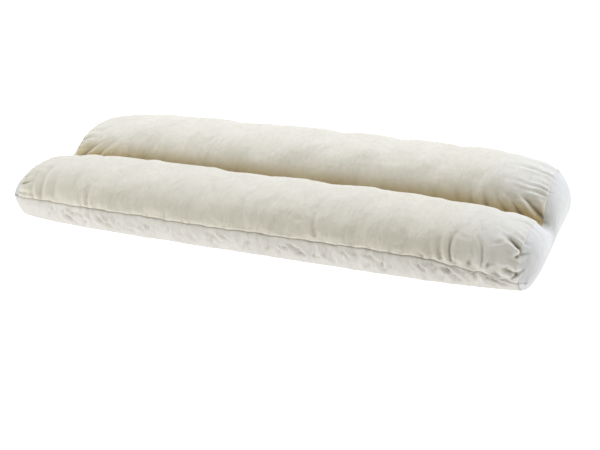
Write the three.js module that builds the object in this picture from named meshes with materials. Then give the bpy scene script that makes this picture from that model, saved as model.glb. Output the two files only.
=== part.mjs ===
// A two-roll neck pillow of cream cotton, lying on its underside.
// Millimetres. X runs along the rolls, Y from the low front roll to the high back roll, Z is up.
// The origin is the centre of the rectangle that the pillow covers, on the surface it lies on.
import * as THREE from 'three';

// Driving sizes
const LENGTH = 700;
const END_BULGE = 20;
const BULGE_POWER = 0.8;
const BULGE_WEB_REACH = 1.8;
const LEFT_BACK_BULGE = 0.55;
const FRONT_ROLL = { side: -1, halfWidth: 78, height: 78, slope: 0.002 };
const BACK_ROLL = { side: 1, halfWidth: 85, height: 93, slope: 0.01 };
const CLOTH_THICKNESS = 3;
const SEAM_GAP = 0.3;

// Section of a roll: the powers of its rounded outline, and levels as shares of its height
const SIDE_POWER = 2.4;
const CROWN_POWER = 2.0;
const WIDEST_LEVEL = 0.44;
const LONG_SEAM_LEVEL = 0.55;
const LONG_SEAM_DRAW = 1.6;
const LONG_SEAM_DIP = { from: 210, depth: 0.28, power: 1.7 };
const FLOOR_PRESS = 4.5;

// The ends, where both rolls draw in towards the end seams
const TAPER_LENGTH = 235;
const TAPER_SOFT_POWER = 3.6;
const TAPER_HARD_POWER = 4.2;
const HEIGHT_TAPER = { depth: 0.26, hardShare: 0.8 };
const WIDTH_TAPER = { outer: 0.34, inner: 0.12, hardShare: 0.3 };
const END_SLOPE_LIMIT = 0.97;

// The sewn channel between the rolls, and the shallow hollow under it
const CHANNEL = { level: 46, endLevel: 35, lip: 3 };
const UNDER_HOLLOW = { rise: 9, halfWidth: 30 };

// Mesh steps
const MIDDLE_HALF = 216;
const MIDDLE_STATIONS = 18;
const END_STATIONS = 18;
const END_CROWDING = 1.2;
const ROLL_STEPS = 32;
const CHANNEL_STEPS = 4;
const CAP_ROWS = [
  { down: 0.06, steps: 56 },
  { down: 0.18, steps: 48 },
  { down: 0.38, steps: 40 },
  { down: 0.62, steps: 32 },
  { down: 0.84, steps: 26 },
];
const UNDER_SIDE_SHARES = [0.3, 0.55, 0.78, 1];
const UNDER_FLAT_SHARES = [0.5];
const HOLLOW_SHARES = [1, 0.5, 0, -0.5, -1];

// Cloth eased into an end seam: rows of small pleats that die out along the roll. Each row covers
// a share of the way round the roll, from the long seam (0) to the channel (1)
const GATHER_START = 0.3;
const GATHER_FADE = 0.08;
const GATHERS = [
  { end: 1, roll: BACK_ROLL, from: 0.1, to: 0.92, pleats: 8, height: 1.4, reach: 34 },
  { end: 1, roll: FRONT_ROLL, from: 0.5, to: 0.95, pleats: 8, height: 0.9, reach: 26 },
  { end: -1, roll: BACK_ROLL, from: 0.1, to: 0.92, pleats: 8, height: 1.2, reach: 32 },
  { end: -1, roll: FRONT_ROLL, from: 0.05, to: 0.9, pleats: 8, height: 1.0, reach: 30 },
];

// Share of a fold's depth that is left at its far end
const FOLD_FADE = 0.25;

// Single folds and tucks of the top cloth: where each one starts and ends, as its place along X
// and its angle round the roll from the outer side (0) over the crown (90) to the channel (180)
const FOLDS = [
  { name: 'upper tuck', roll: FRONT_ROLL, x: [329, 304], angle: [40, 64], depth: 4.5, width: 8 },
  { name: 'upper tuck lip', roll: FRONT_ROLL, x: [328, 300], angle: [56, 74], depth: -2.2, width: 8 },
  { name: 'lower tuck', roll: FRONT_ROLL, x: [330, 306], angle: [4, 10], depth: 3.5, width: 7 },
  { name: 'strong wall crease', roll: FRONT_ROLL, x: [255, 254], angle: [14, 54], depth: 3.2, width: 9 },
  { name: 'wall crease', roll: FRONT_ROLL, x: [288, 281], angle: [12, 46], depth: 2.4, width: 9 },
  { name: 'wall crease', roll: FRONT_ROLL, x: [244, 239], angle: [16, 40], depth: 1.4, width: 8 },
  { name: 'wall crease', roll: FRONT_ROLL, x: [-213, -218], angle: [14, 42], depth: 1.8, width: 10 },
  { name: 'end crease', roll: FRONT_ROLL, x: [-286, -298], angle: [16, 72], depth: 1.8, width: 9 },
  { name: 'left tuck', roll: FRONT_ROLL, x: [-329, -304], angle: [38, 44], depth: 3.5, width: 8 },
  { name: 'channel ridge', roll: BACK_ROLL, x: [308, 284], angle: [168, 134], depth: -3, width: 11 },
  { name: 'channel fold', roll: BACK_ROLL, x: [322, 294], angle: [170, 136], depth: 3.6, width: 12 },
  { name: 'channel fold', roll: BACK_ROLL, x: [288, 268], angle: [170, 138], depth: 3.0, width: 12 },
  { name: 'channel fold', roll: BACK_ROLL, x: [260, 250], angle: [170, 144], depth: 2.2, width: 10 },
  { name: 'channel fold', roll: BACK_ROLL, x: [242, 236], angle: [170, 138], depth: 2, width: 10 },
  { name: 'channel fold', roll: BACK_ROLL, x: [224, 220], angle: [170, 146], depth: 1.6, width: 9 },
  { name: 'channel fold', roll: FRONT_ROLL, x: [316, 284], angle: [168, 134], depth: 3, width: 12 },
  { name: 'channel fold', roll: FRONT_ROLL, x: [286, 266], angle: [168, 140], depth: 2.4, width: 10 },
  { name: 'channel fold', roll: BACK_ROLL, x: [-318, -286], angle: [168, 134], depth: 3.4, width: 12 },
  { name: 'channel fold', roll: BACK_ROLL, x: [-280, -262], angle: [168, 140], depth: 2.6, width: 10 },
  { name: 'channel fold', roll: FRONT_ROLL, x: [-316, -284], angle: [168, 134], depth: 3, width: 12 },
  { name: 'back tuck', roll: BACK_ROLL, x: [330, 304], angle: [30, 40], depth: 3.8, width: 8 },
  { name: 'back tuck', roll: BACK_ROLL, x: [-330, -304], angle: [28, 38], depth: 3.8, width: 8 },
];

// Uneven fill: long, low swells of both rolls
const FILL_SWELLS = [
  { height: 0.9, wavelength: 310, phase: 0.4 },
  { height: 0.6, wavelength: 137, phase: 2.1 },
];

const SEAM_X = LENGTH / 2 - END_BULGE;
const CHANNEL_Y = FRONT_ROLL.halfWidth - BACK_ROLL.halfWidth;
const INNER_CLEARANCE = CLOTH_THICKNESS + SEAM_GAP;
const DEGREE = Math.PI / 180;

const TOP_CLOTH = new THREE.MeshStandardMaterial({ color: 0xeae6da, roughness: 0.92, metalness: 0 });
const BASE_CLOTH = new THREE.MeshStandardMaterial({ color: 0xe6e2d8, roughness: 0.92, metalness: 0 });
const END_CLOTH = new THREE.MeshStandardMaterial({ color: 0xe9edf2, roughness: 0.88, metalness: 0 });

const clamp = THREE.MathUtils.clamp;
const signedPower = (value, power) => Math.sign(value) * Math.abs(value) ** power;

// Share of the way from the plain middle of the pillow (0) to its end seam (1)
function endShare(x) {
  return clamp((Math.abs(x) - (SEAM_X - TAPER_LENGTH)) / TAPER_LENGTH, 0, 1);
}

function taper(x, hardShare) {
  const e = endShare(x);
  const soft = e ** TAPER_SOFT_POWER;
  const hard = 1 - Math.sqrt(1 - (e * END_SLOPE_LIMIT) ** TAPER_HARD_POWER);
  return (1 - hardShare) * soft + hardShare * hard;
}

// Size and place of one roll's section at a station along X
function rollAt(roll, x) {
  const swell = FILL_SWELLS.reduce(
    (sum, s) => sum + s.height * Math.sin((2 * Math.PI * x) / s.wavelength + s.phase + roll.side), 0);
  const height = (roll.height + roll.slope * x + swell * (1 - endShare(x) ** 2))
    * (1 - HEIGHT_TAPER.depth * taper(x, HEIGHT_TAPER.hardShare));
  const narrowing = taper(x, WIDTH_TAPER.hardShare);
  return {
    side: roll.side,
    centre: CHANNEL_Y + roll.side * roll.halfWidth,
    outer: roll.halfWidth * (1 - WIDTH_TAPER.outer * narrowing),
    inner: roll.halfWidth * (1 - WIDTH_TAPER.inner * narrowing),
    height,
    widest: height * WIDEST_LEVEL,
  };
}

// Point of a roll's section: angle 0 faces away from the channel, 90 degrees is the crown
function rollPoint(r, angle) {
  const across = Math.cos(angle);
  const up = Math.sin(angle);
  const reach = across > 0 ? r.outer : r.inner;
  const rise = up > 0 ? r.height - r.widest : r.widest + FLOOR_PRESS;
  const y = r.centre + r.side * reach * signedPower(across, 2 / SIDE_POWER);
  const z = r.widest + rise * signedPower(up, 2 / CROWN_POWER);
  return { y, z: Math.max(z, 0) };
}

// Angle at which a roll's section has a given height, negative below the widest level
function angleAtHeight(r, z) {
  const above = z - r.widest;
  const rise = above > 0 ? r.height - r.widest : r.widest + FLOOR_PRESS;
  return Math.sign(above) * Math.asin(Math.min(Math.abs(above) / rise, 1) ** (CROWN_POWER / 2));
}

// Angle below the widest level at which a roll's section meets the floor
function floorAngle(r) {
  return angleAtHeight(r, 0);
}

function channelLevel(x) {
  const drop = taper(x, HEIGHT_TAPER.hardShare);
  return CHANNEL.level - (CHANNEL.level - CHANNEL.endLevel) * drop;
}

// The long seam runs level along both sides, and dips where it nears the right end
function longSeamAngle(r, x) {
  const share = clamp((x - LONG_SEAM_DIP.from) / (SEAM_X - LONG_SEAM_DIP.from), 0, 1);
  const level = LONG_SEAM_LEVEL - LONG_SEAM_DIP.depth * share ** LONG_SEAM_DIP.power;
  return angleAtHeight(r, r.height * level);
}

function longSeamPoint(r, x) {
  const p = rollPoint(r, longSeamAngle(r, x));
  return { y: p.y - r.side * LONG_SEAM_DRAW, z: p.z };
}

// Height of the pleats of the cloth that is eased into an end seam
function gatherHeight(roll, x, round) {
  const fromSeam = SEAM_X - Math.abs(x);
  return GATHERS.filter((g) => g.roll === roll && g.end === Math.sign(x)).reduce((sum, g) => {
    const span = clamp((round - g.from) / GATHER_FADE, 0, 1) * clamp((g.to - round) / GATHER_FADE, 0, 1);
    const rise = Math.min(fromSeam / (GATHER_START * g.reach), 1) * Math.exp(-((fromSeam / g.reach) ** 2));
    return sum + g.height * span * rise * Math.cos(2 * Math.PI * round * g.pleats);
  }, 0);
}

// Depth of the single folds: a soft trough along the line from a fold's start to its end
function foldDepth(roll, x, angle) {
  const radius = (roll.height / 2 + roll.halfWidth) / 2;
  return FOLDS.filter((f) => f.roll === roll).reduce((sum, f) => {
    const start = new THREE.Vector2(f.x[0], f.angle[0] * DEGREE * radius);
    const along = new THREE.Vector2(f.x[1], f.angle[1] * DEGREE * radius).sub(start);
    const here = new THREE.Vector2(x, angle * radius).sub(start);
    const share = clamp(here.dot(along) / along.lengthSq(), 0, 1);
    const off = here.addScaledVector(along, -share).length() / f.width;
    return sum + f.depth * THREE.MathUtils.lerp(1, FOLD_FADE, share) * Math.exp(-off * off);
  }, 0);
}

// The row of points of the top cloth at one station, from the front seam to the back seam
function topRow(x) {
  const level = channelLevel(x);
  const half = (roll) => {
    const r = rollAt(roll, x);
    const first = longSeamAngle(r, x);
    const last = Math.PI - angleAtHeight(r, level + CHANNEL.lip);
    const nearSeam = Math.min((SEAM_X - Math.abs(x)) / CHANNEL.lip, 1);
    const points = [longSeamPoint(r, x)];
    for (let i = 1; i <= ROLL_STEPS; i += 1) {
      const round = i / ROLL_STEPS;
      const angle = THREE.MathUtils.lerp(first, last, round);
      const p = rollPoint(r, angle);
      const normal = new THREE.Vector2(
        r.side * Math.cos(angle) * (r.height - r.widest), Math.sin(angle) * r.outer).normalize();
      const rise = nearSeam * (gatherHeight(roll, x, round) - foldDepth(roll, x, angle));
      points.push({ y: p.y + normal.x * rise, z: p.z + normal.y * rise });
    }
    return points;
  };
  const front = half(FRONT_ROLL);
  const back = half(BACK_ROLL).reverse();
  const a = front[front.length - 1];
  const b = back[0];
  const channel = [];
  for (let i = 1; i < CHANNEL_STEPS; i += 1) {
    const share = i / CHANNEL_STEPS;
    const sag = 4 * share * (1 - share);
    channel.push({
      y: THREE.MathUtils.lerp(a.y, b.y, share),
      z: THREE.MathUtils.lerp(a.z, b.z, share) - CHANNEL.lip * sag,
    });
  }
  return [...front, ...channel, ...back].map((p) => new THREE.Vector3(x, p.y, p.z));
}

// The underside at one station, from the front seam to the back seam
function underRow(x) {
  const half = (roll) => {
    const r = rollAt(roll, x);
    const first = longSeamAngle(r, x);
    const last = floorAngle(r);
    const side = UNDER_SIDE_SHARES.map((share) => rollPoint(r, THREE.MathUtils.lerp(first, last, share)));
    const contact = side[side.length - 1];
    contact.z = 0;
    const hollowEdge = CHANNEL_Y + r.side * UNDER_HOLLOW.halfWidth;
    const flat = UNDER_FLAT_SHARES.map((share) => ({ y: THREE.MathUtils.lerp(contact.y, hollowEdge, share), z: 0 }));
    return [longSeamPoint(r, x), ...side, ...flat];
  };
  const hollow = HOLLOW_SHARES.map((share) => ({
    y: CHANNEL_Y - UNDER_HOLLOW.halfWidth * share,
    z: Math.abs(share) < 1 ? UNDER_HOLLOW.rise * Math.cos((share * Math.PI) / 2) ** 2 : 0,
  }));
  const row = [...half(FRONT_ROLL), ...hollow, ...half(BACK_ROLL).reverse()];
  return row.map((p) => new THREE.Vector3(x, p.y, p.z));
}

// A row moved into the pillow, square to its own line
function insetRow(row, distance) {
  return row.map((point, i) => {
    const before = row[Math.max(i - 1, 0)];
    const after = row[Math.min(i + 1, row.length - 1)];
    const inward = new THREE.Vector3(0, before.z - after.z, after.y - before.y).normalize();
    return point.clone().addScaledVector(inward, distance);
  });
}

// A row whose two end points are drawn back along it, so that it stops short of the long seams
function shortenRow(row, distance) {
  const shorter = row.map((point) => point.clone());
  const last = row.length - 1;
  shorter[0].addScaledVector(row[1].clone().sub(row[0]).normalize(), distance);
  shorter[last].addScaledVector(row[last - 1].clone().sub(row[last]).normalize(), distance);
  return shorter;
}

// Closed surface built from rows of points
class Solid {
  constructor() {
    this.positions = [];
    this.triangles = [];
  }

  row(points) {
    return points.map((p) => {
      this.positions.push(p.x, p.y, p.z);
      return this.positions.length / 3 - 1;
    });
  }

  // Triangles between two rows, which may have different numbers of points
  bridge(a, b, turned = false) {
    let i = 0;
    let j = 0;
    while (i < a.length - 1 || j < b.length - 1) {
      const nextA = (i + 1) / (a.length - 1);
      const nextB = (j + 1) / (b.length - 1);
      const stepB = i === a.length - 1 || (j < b.length - 1 && nextB <= nextA);
      const triangle = stepB ? [a[i], b[j], b[j + 1]] : [a[i], b[j], a[i + 1]];
      if (new Set(triangle).size === 3) {
        this.triangles.push(...(turned ? triangle.reverse() : triangle));
      }
      if (stepB) {
        j += 1;
      } else {
        i += 1;
      }
    }
  }

  sheet(rows, turned = false) {
    rows.slice(1).forEach((row, i) => this.bridge(rows[i], row, turned));
  }

  mesh(name, material) {
    const geometry = new THREE.BufferGeometry();
    geometry.setAttribute('position', new THREE.Float32BufferAttribute(this.positions, 3));
    geometry.setIndex(this.triangles);
    geometry.computeVertexNormals();
    const mesh = new THREE.Mesh(geometry, material);
    mesh.name = name;
    return mesh;
  }
}

const firsts = (rows) => rows.map((row) => row[0]);
const lasts = (rows) => rows.map((row) => row[row.length - 1]);

// Stations along X: even in the middle, and closer together towards the end seams
function stations() {
  const list = [];
  const endLength = SEAM_X - MIDDLE_HALF;
  for (let i = 0; i < END_STATIONS; i += 1) {
    list.push(-SEAM_X + endLength * (i / END_STATIONS) ** END_CROWDING);
  }
  for (let i = 0; i <= MIDDLE_STATIONS; i += 1) {
    list.push(MIDDLE_HALF * ((2 * i) / MIDDLE_STATIONS - 1));
  }
  const mirrored = list.slice(0, END_STATIONS).reverse();
  return [...list, ...mirrored.map((x) => -x)];
}

// How far an end panel stands out, as a share of its full bulge. The left end's back lobe is flatter
function bulgeShare(point, share) {
  const ends = [FRONT_ROLL, BACK_ROLL].map((roll) => {
    const r = rollAt(roll, Math.sign(point.x) * SEAM_X);
    const across = point.y - r.centre;
    const off = across / (across * r.side > 0 ? r.outer : r.inner * BULGE_WEB_REACH);
    const full = roll === BACK_ROLL && point.x < 0 ? LEFT_BACK_BULGE : 1;
    return full * Math.sqrt(Math.max(1 - off * off, 0));
  });
  return (4 * share * (1 - share)) ** BULGE_POWER * Math.max(...ends);
}

// Rows of an end face, from the top cloth's edge down to the underside's edge
function endRows(top, under, bulge) {
  const at = (row, share) => {
    const place = share * (row.length - 1);
    const i = Math.min(Math.floor(place), row.length - 2);
    return row[i].clone().lerp(row[i + 1], place - i);
  };
  return CAP_ROWS.map(({ down, steps }) => {
    const points = [];
    for (let i = 1; i < steps; i += 1) {
      const point = at(top, i / steps).lerp(at(under, i / steps), down);
      point.x += Math.sign(point.x) * bulge * bulgeShare(point, down);
      points.push(point);
    }
    return points;
  });
}

// The filled body under the top cloth, recessed where the other cloths lie
function pillowBody() {
  const solid = new Solid();
  const places = stations();
  const topPoints = places.map(topRow);
  const underPoints = places.map((x) => insetRow(underRow(x), INNER_CLEARANCE));
  const top = topPoints.map((row) => solid.row(row));
  const under = underPoints.map((row) => solid.row(row));
  solid.sheet(top);
  solid.sheet(under, true);
  solid.bridge(firsts(top), firsts(under));
  solid.bridge(lasts(top), lasts(under), true);
  [0, places.length - 1].forEach((n) => {
    const edge = under[n];
    const rows = endRows(topPoints[n], underRow(places[n]), END_BULGE - INNER_CLEARANCE)
      .map((points) => [edge[0], ...solid.row(points), edge[edge.length - 1]]);
    solid.sheet([top[n], ...rows, edge], n === 0);
  });
  return solid.mesh('pillow_body', TOP_CLOTH);
}

// The cloth of the underside, turned up to the long seams
function basePanel() {
  const solid = new Solid();
  const outerPoints = stations().map((x) => shortenRow(underRow(x), SEAM_GAP));
  const outer = outerPoints.map((row) => solid.row(row));
  const inner = outerPoints.map((row) => solid.row(insetRow(row, CLOTH_THICKNESS)));
  const last = outer.length - 1;
  solid.sheet(outer, true);
  solid.sheet(inner);
  solid.bridge(firsts(inner), firsts(outer));
  solid.bridge(lasts(inner), lasts(outer), true);
  solid.bridge(inner[0], outer[0], true);
  solid.bridge(inner[last], outer[last]);
  return solid.mesh('base_panel', BASE_CLOTH);
}

// The two-lobed cloth that closes one end
function endPanel(side, name) {
  const solid = new Solid();
  const top = topRow(side * SEAM_X);
  const under = underRow(side * SEAM_X);
  const face = (from, bulge) => {
    const move = (point) => point.clone().setX(side * (SEAM_X + from));
    const topEdge = solid.row(top.map(move));
    const underEdge = [topEdge[0], ...solid.row(under.slice(1, -1).map(move)), topEdge[topEdge.length - 1]];
    const rows = endRows(top.map(move), under.map(move), bulge)
      .map((points) => [topEdge[0], ...solid.row(points), topEdge[topEdge.length - 1]]);
    return { topEdge, underEdge, rows: [topEdge, ...rows, underEdge] };
  };
  const innerBulge = END_BULGE - INNER_CLEARANCE;
  const inner = face(SEAM_GAP, innerBulge);
  const outer = face(INNER_CLEARANCE, innerBulge);
  const turned = side < 0;
  solid.sheet(outer.rows, turned);
  solid.sheet(inner.rows, !turned);
  solid.bridge(inner.topEdge, outer.topEdge, turned);
  solid.bridge(inner.underEdge, outer.underEdge, !turned);
  return solid.mesh(name, END_CLOTH);
}

const pillow = new THREE.Group();
pillow.add(pillowBody(), basePanel(), endPanel(1, 'end_panel_right'), endPanel(-1, 'end_panel_left'));

export default pillow;
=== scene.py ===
"""A two-roll neck pillow in cream cotton: its filled body, its cloths, its sewing and a plain stage."""

import math
from typing import NamedTuple

import bpy
import numpy as np
from mathutils import Matrix, Vector


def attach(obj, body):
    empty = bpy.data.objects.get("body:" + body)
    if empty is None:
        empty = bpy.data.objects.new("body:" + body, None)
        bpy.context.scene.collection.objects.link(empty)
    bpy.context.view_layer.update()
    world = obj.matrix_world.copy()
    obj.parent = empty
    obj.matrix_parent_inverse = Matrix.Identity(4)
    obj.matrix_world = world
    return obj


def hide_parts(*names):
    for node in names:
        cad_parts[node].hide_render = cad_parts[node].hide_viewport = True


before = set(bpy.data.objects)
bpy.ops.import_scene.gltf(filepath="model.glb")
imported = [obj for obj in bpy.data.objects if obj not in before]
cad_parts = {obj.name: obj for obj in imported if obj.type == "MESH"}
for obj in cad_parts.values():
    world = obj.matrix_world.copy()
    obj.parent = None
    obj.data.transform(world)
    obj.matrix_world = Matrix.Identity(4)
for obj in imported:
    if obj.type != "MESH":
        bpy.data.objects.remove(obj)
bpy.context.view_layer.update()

bl_info = {
    "name": "Two-Roll Neck Pillow",
    "version": (1, 0, 0),
    "blender": (4, 5, 0),
    "location": "View3D > Sidebar > Pillow",
    "description": "Sews a neck pillow with a low and a high roll, a stitched channel and end cloths",
    "category": "Add Mesh",
}

MM = 0.001
FRONT, BACK = -1, 1
LEFT, RIGHT = -1, 1

# Section of a roll: the powers of its rounded outline, and levels as shares of its height
SIDE_POWER = 2.4
CROWN_POWER = 2.0
WIDEST_LEVEL = 0.44
LONG_SEAM_LEVEL = 0.55
FLOOR_PRESS = 4.5 * MM
SLOPES = {FRONT: 0.002, BACK: 0.01}

# The long seams run level, and dip where they near the right end
SEAM_DIP_FROM = 210 * MM
SEAM_DIP_DEPTH = 0.28
SEAM_DIP_POWER = 1.7

# Small ups and downs of the long seams: height as a share of the roll's, length and start
SEAM_WOBBLES = ((0.010, 71 * MM, 0.7), (0.012, 27 * MM, 2.9), (0.006, 13.7 * MM, 1.1))

# The ends, where both rolls draw in towards the end seams
TAPER_LENGTH = 235 * MM
TAPER_SOFT_POWER = 3.6
TAPER_HARD_POWER = 4.2
HEIGHT_TAPER, HEIGHT_HARD_SHARE = 0.26, 0.8
OUTER_TAPER, INNER_TAPER, WIDTH_HARD_SHARE = 0.34, 0.12, 0.3
END_SLOPE_LIMIT = 0.97

CHANNEL_LIP = 3 * MM
HOLLOW_RISE = 9 * MM
HOLLOW_HALF_WIDTH = 30 * MM
BULGE_POWER = 0.8
BULGE_WEB_REACH = 1.8
LEFT_BACK_BULGE = 0.55
BODY_CLEARANCE = 1.8 * MM

# Uneven filling: height and length of the swells along the rolls, and where they start
FILL_SWELLS = ((0.9 * MM, 310 * MM, 0.4), (0.6 * MM, 137 * MM, 2.1))

# Points of the cloths: along the pillow, round each roll and down an end cloth
STATIONS = 300
ROLL_COLUMNS = {FRONT: 109, BACK: 123}
CHANNEL_COLUMNS = 9
LINING_STEP = 8
BASE_SIDE_COLUMNS = 36
BASE_FLAT_COLUMNS = 12
HOLLOW_COLUMNS = 22
END_ROWS = 44
BODY_END_ROWS = 18

# Cloth simulation of the cover: how coarse its points are, its cloth, and how far its folds may move
SIM_STEP = 3
SIM_MASS = 0.15
SIM_STRETCH = 15
SIM_SHEAR = 5
SIM_FRAMES = 20
SIM_QUALITY = 6
SIM_PRESSURE = 2.0
SIM_BENDING = 4.0
SIM_EXCESS = 0.012
SIM_SMOOTH = 4
SIM_LIMIT = 0.8 * MM

# Form of a fold: how narrow its crease line is, and how much of its depth the line takes
CREASE_SHARE = 0.4
CREASE_WEIGHT = 0.6
# Fold depth at which the painted shade in a crease is full
SHADE_DEPTH = 3.5 * MM
FINE_STEPS = 400

# Where folds start and stop along the pillow, in millimetres from its middle
SEAM_END = 330
PUCKER_REACH = 318.0
LOOSE_SEAM_FROM = 215
CHANNEL_FOLD_REACH = 262.0

# Angles in degrees between which folds fade towards the channel
CHANNEL_EDGE = (158, 172)

# Reach and height of the warm painted shade deep in the channel, and reach of the painted light that makes
# the right end paler, in millimetres
SHADE_REACH = (6, 38)
SHADE_LEVELS = (44, 78)
PAINTED_LIGHT_REACH = (225, 325)

# Points closer than this are one point
MERGE_DISTANCE = 0.00001

# Cut size of an end cloth: what its bulge adds each way, and its share of a rectangle
END_CUT_EXTRA = 0.02
END_CUT_SHARE = 0.72


class PillowSizes(bpy.types.PropertyGroup):
    """Sizes of the pillow."""

    length: bpy.props.FloatProperty(
        name="Length", description="Over both end cloths", default=0.7, unit="LENGTH")
    end_bulge: bpy.props.FloatProperty(
        name="End bulge", description="How far an end cloth stands out of its seam",
        default=0.02, unit="LENGTH")
    front_width: bpy.props.FloatProperty(
        name="Front width", description="Width of the low roll", default=0.156, unit="LENGTH")
    front_height: bpy.props.FloatProperty(
        name="Front height", description="Height of the low roll", default=0.078, unit="LENGTH")
    back_width: bpy.props.FloatProperty(
        name="Back width", description="Width of the high roll", default=0.17, unit="LENGTH")
    back_height: bpy.props.FloatProperty(
        name="Back height", description="Height of the high roll", default=0.093, unit="LENGTH")
    channel_level: bpy.props.FloatProperty(
        name="Channel level", description="Height of the stitched channel", default=0.046, unit="LENGTH")
    channel_end_level: bpy.props.FloatProperty(
        name="Channel end level", description="Height of the channel at the end seams",
        default=0.035, unit="LENGTH")
    cloth_thickness: bpy.props.FloatProperty(
        name="Cloth thickness", description="Thickness of the base and end cloths",
        default=0.0008, unit="LENGTH")


class ClothColours(bpy.types.PropertyGroup):
    """Colours of the cloths."""

    top: bpy.props.FloatVectorProperty(
        name="Top cloth", description="Cream cotton of both rolls",
        default=(0.73, 0.70, 0.605), subtype="COLOR")
    # painted shade: this warm dark colour stands in for the shade deep in the channel
    fold: bpy.props.FloatVectorProperty(
        name="Channel shade", description="Warmer cream deep in the channel",
        default=(0.58, 0.455, 0.225), subtype="COLOR")
    base: bpy.props.FloatVectorProperty(
        name="Base cloth", description="Cotton of the underside",
        default=(0.68, 0.655, 0.61), subtype="COLOR")
    end: bpy.props.FloatVectorProperty(
        name="End cloth", description="Whiter cotton of the ends",
        default=(0.70, 0.705, 0.705), subtype="COLOR")


class StageSettings(bpy.types.PropertyGroup):
    """Floor, lights and camera."""

    floor: bpy.props.FloatVectorProperty(
        name="Floor", description="Colour of the floor", default=(0.55, 0.55, 0.55), subtype="COLOR")
    floor_glow: bpy.props.FloatProperty(
        name="Floor glow", description="Light of the lit table under the pillow", default=0.8, min=0)
    sky: bpy.props.FloatProperty(name="Sky", description="Strength of the even light", default=0.25, min=0)
    top_light: bpy.props.FloatProperty(
        name="Top light", description="Power of the softbox behind the back roll", default=62, unit="POWER")
    front_light: bpy.props.FloatProperty(
        name="Front light", description="Power of the low softbox in front", default=16, unit="POWER")
    side_light: bpy.props.FloatProperty(
        name="Side light", description="Power of the softbox off the right end", default=12, unit="POWER")
    azimuth: bpy.props.FloatProperty(
        name="Azimuth", description="Camera's turn round the pillow",
        default=math.radians(21.27), unit="ROTATION")
    elevation: bpy.props.FloatProperty(
        name="Elevation", description="Camera's height angle", default=math.radians(21.83), unit="ROTATION")
    distance: bpy.props.FloatProperty(
        name="Distance", description="Camera's distance", default=1.575, unit="LENGTH")
    lens: bpy.props.FloatProperty(name="Lens", description="Focal length in millimetres", default=72.34)


def signed_power(value, power):
    return np.sign(value) * np.abs(value) ** power


def blend_step(value, low, high):
    """0 below low, 1 above high and a soft step between."""
    t = np.clip((value - low) / (high - low), 0, 1)
    return t * t * (3 - 2 * t)


def crowded(count, crowding):
    """Even shares from 0 to 1, drawn closer together at both ends."""
    t = np.linspace(0, 1, count)
    return t - crowding * np.sin(2 * np.pi * t) / (2 * np.pi)


def row_arcs(points):
    """Length along each row of points up to each point."""
    steps = np.linalg.norm(np.diff(points[..., :3], axis=1), axis=2)
    return np.concatenate([np.zeros((len(points), 1)), np.cumsum(steps, axis=1)], axis=1)


def respaced(rows, shares):
    """Rows of points, and what else they carry, read off at shares of each row's length."""
    arcs = row_arcs(rows)
    out = np.empty((rows.shape[0], len(shares), rows.shape[2]))
    for i, arc in enumerate(arcs):
        for k in range(rows.shape[2]):
            out[i, :, k] = np.interp(shares, arc / arc[-1], rows[i, :, k])
    return out


def evened(row, reach=9):
    """A row of points whose small bumps are averaged out, with its end points kept."""
    padded = np.pad(row, ((reach, reach), (0, 0)), mode="edge")
    weights = np.ones(2 * reach + 1) / (2 * reach + 1)
    even = np.stack([np.convolve(padded[:, k], weights, mode="valid") for k in range(row.shape[1])], axis=1)
    even[0], even[-1] = row[0], row[-1]
    return even


def face_directions(points):
    """Unit vectors square to a grid of points."""
    along = np.gradient(points, axis=0)
    across = np.gradient(points, axis=1)
    normal = np.cross(along, across)
    return normal / np.maximum(np.linalg.norm(normal, axis=2, keepdims=True), 1e-12)


class Section(NamedTuple):
    """Size and place of a roll's section at stations along the pillow."""

    centre: float
    outer: np.ndarray
    inner: np.ndarray
    height: np.ndarray
    widest: np.ndarray


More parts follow.
